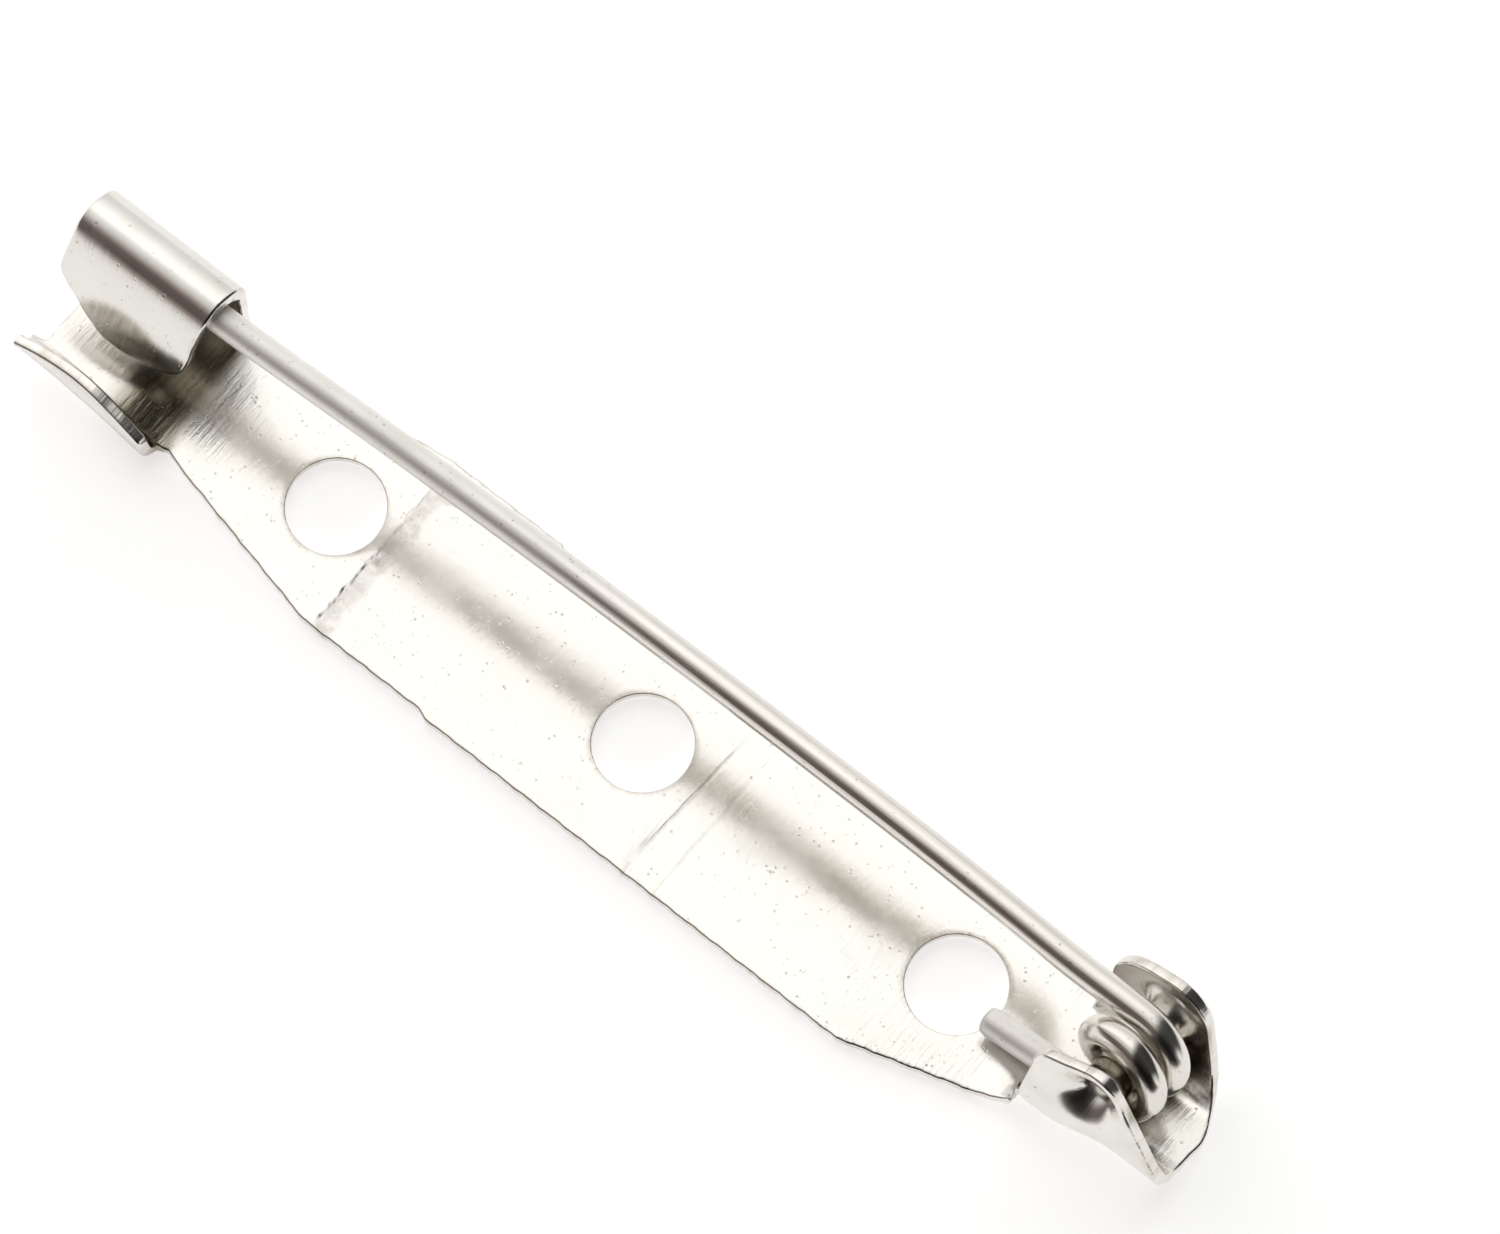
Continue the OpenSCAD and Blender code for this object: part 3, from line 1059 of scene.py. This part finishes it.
        # Painted shade on the trough's inner faces round the coil
        inner = 1 - smooth_step(3.6, 4.3, np.abs(v - self.seat.trough_y))
        inner = inner * between((14.6, 15.3), (16.5, 17.0), u)
        # Painted dark reflection of the shaded plate under the hook, on the lip's back
        past = v - self.far_root - self.hook_len
        along, across = self.lip_shade_reach
        far = ((u - self.lip_shade_at[0]) / along) ** 2 + ((past - self.lip_shade_at[1]) / across) ** 2
        lip = (1 - smooth_step(0.7, 1.15, far)) * (1 - 0.6 * smooth_step(-1.2, -0.5, past))
        stain = spot(u, v, self.stain_at, (0.13, 0.17))
        return ramp + 0.5 * stain + 0.85 * inner * (w > 0) + 0.85 * lip * (w < 0)

    def sag(self, u: Array, v: Array) -> Array:
        """Gives the plate's slight lean, too small to show as a shape but seen in its reflections."""
        return -self.plate_lean * np.clip(v, -3.0, 3.0) * MM * (1 - smooth_step(7.0, 15.0, u))

    def dress(self, bar: bpy.types.Object) -> None:
        """Gives the bar its finish and its place in the frame.

        Args:
            bar: The finished bar.
        """
        bar.data.materials.append(self.finish.build())
        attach(bar, "bar")
        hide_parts("bar")


@dataclass
class SpringPin:
    """The wire pin: a ground point, a slightly bowed stem, a coil and a short tail."""

    finish: NickelFinish
    seat: HingeSeat
    wire_r: float = 0.4
    coil_r: float = 1.1
    coil_pitch: float = 0.95
    coil_turns: float = 1.5
    stem_side: float = 0.45
    stem_z: float = 3.8
    coil_steps: int = 40
    tail_len: float = 3.75
    tail_run: Triple = (-1.0, -0.02, -0.185)
    tail_shares: tuple[float, ...] = (0.12, 0.5, 1.0)
    tip_x: float = -19.15
    point_len: float = 3.2
    sides: int = 28
    spacing: float = 0.16
    curve_steps: int = 12

    def coil_point(self, turn: float) -> Array:
        """Gives a point of the coil's middle line.

        Args:
            turn: Turns counted back from the stem.

        Returns:
            The point's x, y and z.
        """
        seat = self.seat
        across = seat.sideways()
        ahead = np.array([1.0, 0.0, 0.0])
        up = np.cross(ahead, across)
        centre = np.array([seat.axis_x, seat.trough_y, seat.trough_z]) + seat.axis_h * up
        angle = 2 * math.pi * turn
        rim = self.coil_r * (math.sin(angle) * ahead + math.cos(angle) * up)
        return centre + (self.stem_side - self.coil_pitch * turn) * across + rim

    def path(self) -> Array:
        """Lists the wire's middle line from its tip to the tail's end.

        Returns:
            One row of x, y and z for each point, evenly spaced.
        """
        z = self.stem_z
        stem = [
            (self.tip_x, 1.3, z - 0.2), (self.tip_x + self.point_len, 1.33, z - 0.2),
            (-13.5, 1.37, z - 0.1), (-10.0, 1.48, z - 0.04), (-5.0, 1.59, z), (0.0, 1.65, z),
            (4.0, 1.66, z), (8.0, 1.65, z - 0.03), (10.6, 1.62, z - 0.12), (13.0, 1.58, z - 0.24),
        ]
        coil = [self.coil_point(self.coil_turns * k / self.coil_steps) for k in range(self.coil_steps + 1)]
        tail = [coil[-1] + np.array(self.tail_run) * self.tail_len * share for share in self.tail_shares]
        line = self._spline(np.array([*stem, *coil, *tail]), self.curve_steps)
        along = self._lengths(line)
        wanted = np.linspace(0.0, along[-1], int(along[-1] / self.spacing) + 1)
        return np.stack([np.interp(wanted, along, line[:, k]) for k in range(3)], axis=1)

    @staticmethod
    def _spline(knots: Array, steps: int) -> Array:
        """Rounds a row of points with a centripetal Catmull-Rom curve.

        Args:
            knots: The points that the curve passes through.
            steps: How many pieces each stretch is cut into.

        Returns:
            The points of the curve.
        """
        ends = np.concatenate([[2 * knots[0] - knots[1]], knots, [2 * knots[-1] - knots[-2]]])
        made: list[Array] = []
        for i in range(1, len(ends) - 2):
            p = ends[i - 1:i + 3]
            t = np.concatenate([[0.0], np.cumsum(np.sqrt(np.linalg.norm(np.diff(p, axis=0), axis=1)))])
            for share in np.arange(steps) / steps:
                s = t[1] + (t[2] - t[1]) * share
                a = [((t[k + 1] - s) * p[k] + (s - t[k]) * p[k + 1]) / (t[k + 1] - t[k]) for k in range(3)]
                b = [((t[k + 2] - s) * a[k] + (s - t[k]) * a[k + 1]) / (t[k + 2] - t[k]) for k in range(2)]
                made.append(((t[2] - s) * b[0] + (s - t[1]) * b[1]) / (t[2] - t[1]))
        made.append(knots[-1])
        return np.array(made)

    @staticmethod
    def _lengths(line: Array) -> Array:
        """Gives each point's distance from the start, along a line."""
        return np.concatenate([[0.0], np.cumsum(np.linalg.norm(np.diff(line, axis=0), axis=1))])

    def build(self) -> bpy.types.Object:
        """Sweeps the wire along its path.

        Returns:
            The pin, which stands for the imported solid.
        """
        line = self.path()
        along = self._lengths(line)
        point = np.clip(along / self.point_len, 0.0, 1.0)
        radius = self.wire_r * np.sin(0.5 * math.pi * point) ** 0.8
        radius[0] = 0.02 * self.wire_r
        # The cut end of the tail is slightly rounded over
        radius *= 1 - 0.1 * smooth_step(along[-1] - 0.2, along[-1], along)
        heading = np.gradient(line, axis=0)
        heading /= np.linalg.norm(heading, axis=1, keepdims=True)
        up = np.cross(heading, self.seat.sideways())
        up /= np.linalg.norm(up, axis=1, keepdims=True)
        out = np.cross(up, heading)
        turn = 2 * math.pi * np.arange(self.sides) / self.sides
        round_part = (np.cos(turn)[None, :, None] * out[:, None, :]
                      + np.sin(turn)[None, :, None] * up[:, None, :])
        points = (line[:, None, :] + radius[:, None, None] * round_part).reshape(-1, 3)
        ring = np.arange(self.sides)
        ahead = np.roll(ring, -1)
        quads = np.stack([ring, ahead, ahead + self.sides, ring + self.sides], axis=1)
        faces = [face for i in range(len(line) - 1) for face in (quads + i * self.sides).tolist()]
        faces.append(ring[::-1].tolist())
        faces.append((ring + (len(line) - 1) * self.sides).tolist())
        pin = make_object("pin_wire", points, faces)
        pin.data.polygons[len(faces) - 1].use_smooth = False
        flat = np.stack([np.repeat(along, self.sides), np.tile(turn * self.wire_r, len(line))], axis=1)
        lay_map(pin, "blank", flat)
        lay_shade(pin, "edge", np.repeat(0.35 * (1 - point), self.sides))
        # Rubbed rough, and painted paler there as sheen
        lay_shade(pin, "rubbed_and_sheen", np.repeat(self.rubbed_and_sheen(line), self.sides))
        return pin

    def rubbed_and_sheen(self, line: Array) -> Array:
        """Gives how far the wire is rubbed rough and painted paler as sheen, as its front half and its tail
        are.
        """
        tail = (line[:, 1] < self.seat.trough_y) * (1 - smooth_step(14.2, 15.0, line[:, 0]))
        return np.maximum(1 - smooth_step(-9.0, 3.0, line[:, 0]), tail)

    def dress(self, pin: bpy.types.Object) -> None:
        """Gives the pin its finish and its place in the frame.

        Args:
            pin: The finished pin.
        """
        pin.data.materials.append(self.finish.build())
        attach(pin, "pin")
        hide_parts("pin")


@dataclass
class Studio:
    """A pale table, a white light tent with dark seams, and the photograph's camera."""

    focal_px: float = 9000.0
    frame_px: tuple[int, int] = (1500, 1234)
    sensor_mm: float = 36.0
    camera_at: Triple = (55.91, -48.92, 220.62)
    right: Triple = (0.77184, 0.6344, -0.04247)
    up: Triple = (-0.58894, 0.73851, 0.32826)
    back: Triple = (0.23961, -0.22835, 0.94363)
    tint: Colour = (1.0, 0.995, 0.98)
    dark_tint: Colour = (1.1, 0.92, 0.86)
    tent_light: float = 1.5
    table_half: float = 2000.0
    table_tone: Colour = (0.93, 0.93, 0.93)
    table_roughness: float = 0.9
    table_glow: float = 0.6
    dark_below: float = 0.35
    gap_x: tuple[float, float, float, float] = (-0.04, 0.12, 0.85, 1.0)
    gap_light: float = 0.04

    def camera(self) -> None:
        """Sets the camera at the photograph's viewing angle."""
        bpy.context.scene.view_settings.view_transform = "Standard"
        data = bpy.data.cameras.new("camera")
        data.sensor_width = self.sensor_mm
        data.lens = self.focal_px / self.frame_px[0] * self.sensor_mm
        data.clip_start = 0.01
        data.clip_end = 10.0
        made = bpy.data.objects.new("camera", data)
        bpy.context.scene.collection.objects.link(made)
        turn = Matrix((self.right, self.up, self.back)).transposed().to_4x4()
        made.matrix_world = Matrix.Translation(Vector(self.camera_at) * MM) @ turn
        bpy.context.scene.camera = made

    def floor(self) -> None:
        """Lays the pale table under the part."""
        signs = np.array([(-1, -1, 0), (1, -1, 0), (1, 1, 0), (-1, 1, 0)], float)
        made = make_object("table", signs * self.table_half, [[0, 1, 2, 3]])
        pale = bpy.data.materials.new("pale_table")
        pale.use_nodes = True
        inputs = pale.node_tree.nodes["Principled BSDF"].inputs
        inputs["Base Color"].default_value = (*self.table_tone, 1.0)
        inputs["Roughness"].default_value = self.table_roughness
        inputs["Emission Color"].default_value = (1.0, 1.0, 1.0, 1.0)
        inputs["Emission Strength"].default_value = self.table_glow
        made.data.materials.append(pale)

    def tent(self) -> None:
        """Surrounds the part with soft white light that has a few dark seams along the bar."""
        world = bpy.data.worlds.new("light_tent")
        bpy.context.scene.world = world
        world.use_nodes = True
        tree = world.node_tree
        way = tree.nodes.new("ShaderNodeTexCoord")
        parts = tree.nodes.new("ShaderNodeSeparateXYZ")
        feed(tree, parts.inputs["Vector"], way.outputs["Generated"])
        angle = compute(tree, "ARCTAN2", parts.outputs["Z"], parts.outputs["Y"])
        ramp = tree.nodes.new("ShaderNodeValToRGB")
        feed(tree, ramp.inputs["Fac"], remap(tree, angle, (0.0, math.pi), (0.0, 1.0)))
        # Each stop gives the degrees up from the far horizon, and the light there
        stops = (
            (0, 0.8), (25, 0.9), (45, 1.15), (68, 1.4), (80, 1.35), (92, 0.95), (106, 0.7), (119, 0.34),
            (131, 0.13), (158, 0.1), (171, 0.34), (180, 0.8),
        )
        elements = ramp.color_ramp.elements
        while len(elements) < len(stops):
            elements.new(0.5)
        for element, (degrees, light) in zip(elements, stops):
            element.position = degrees / 180.0
            tint = self.dark_tint if light < self.dark_below else self.tint
            element.color = tuple(light * part / self.tent_light for part in tint) + (1.0,)
        before = remap(tree, parts.outputs["X"], self.gap_x[:2], (1.0, self.gap_light), "SMOOTHSTEP")
        after = remap(tree, parts.outputs["X"], self.gap_x[2:], (0.0, 1.0), "SMOOTHSTEP")
        gap = compute(tree, "MAXIMUM", before, after)
        shaded = blend(tree, ramp.outputs["Color"], gap, 1.0, "MULTIPLY")
        back = tree.nodes["Background"]
        back.inputs["Strength"].default_value = self.tent_light
        feed(tree, back.inputs["Color"], shaded)


def main() -> None:
    """Builds the studio, the bar and the pin, and reports each piece."""
    logging.basicConfig(level=logging.INFO, format="%(name)s: %(message)s")
    axis_x = frame["joints"][0]["pos_m"][0] / MM
    seat = HingeSeat(axis_x)
    studio = Studio()
    studio.camera()
    studio.floor()
    studio.tent()
    sheet_finish = NickelFinish("nickel_sheet")
    wire_finish = NickelFinish("nickel_wire", bright=(0.8, 0.77, 0.72), grain=GrainWay.ALONG,
                               pit_strength=0.2)
    bar = PressedBar(sheet_finish, seat)
    bar_piece = bar.build()
    bar.dress(bar_piece)
    LOG.info("bar: %d faces", len(bar_piece.data.polygons))
    pin = SpringPin(wire_finish, seat)
    pin_piece = pin.build()
    pin.dress(pin_piece)
    LOG.info("pin: %d faces", len(pin_piece.data.polygons))


if __name__ == "__main__":
    main()
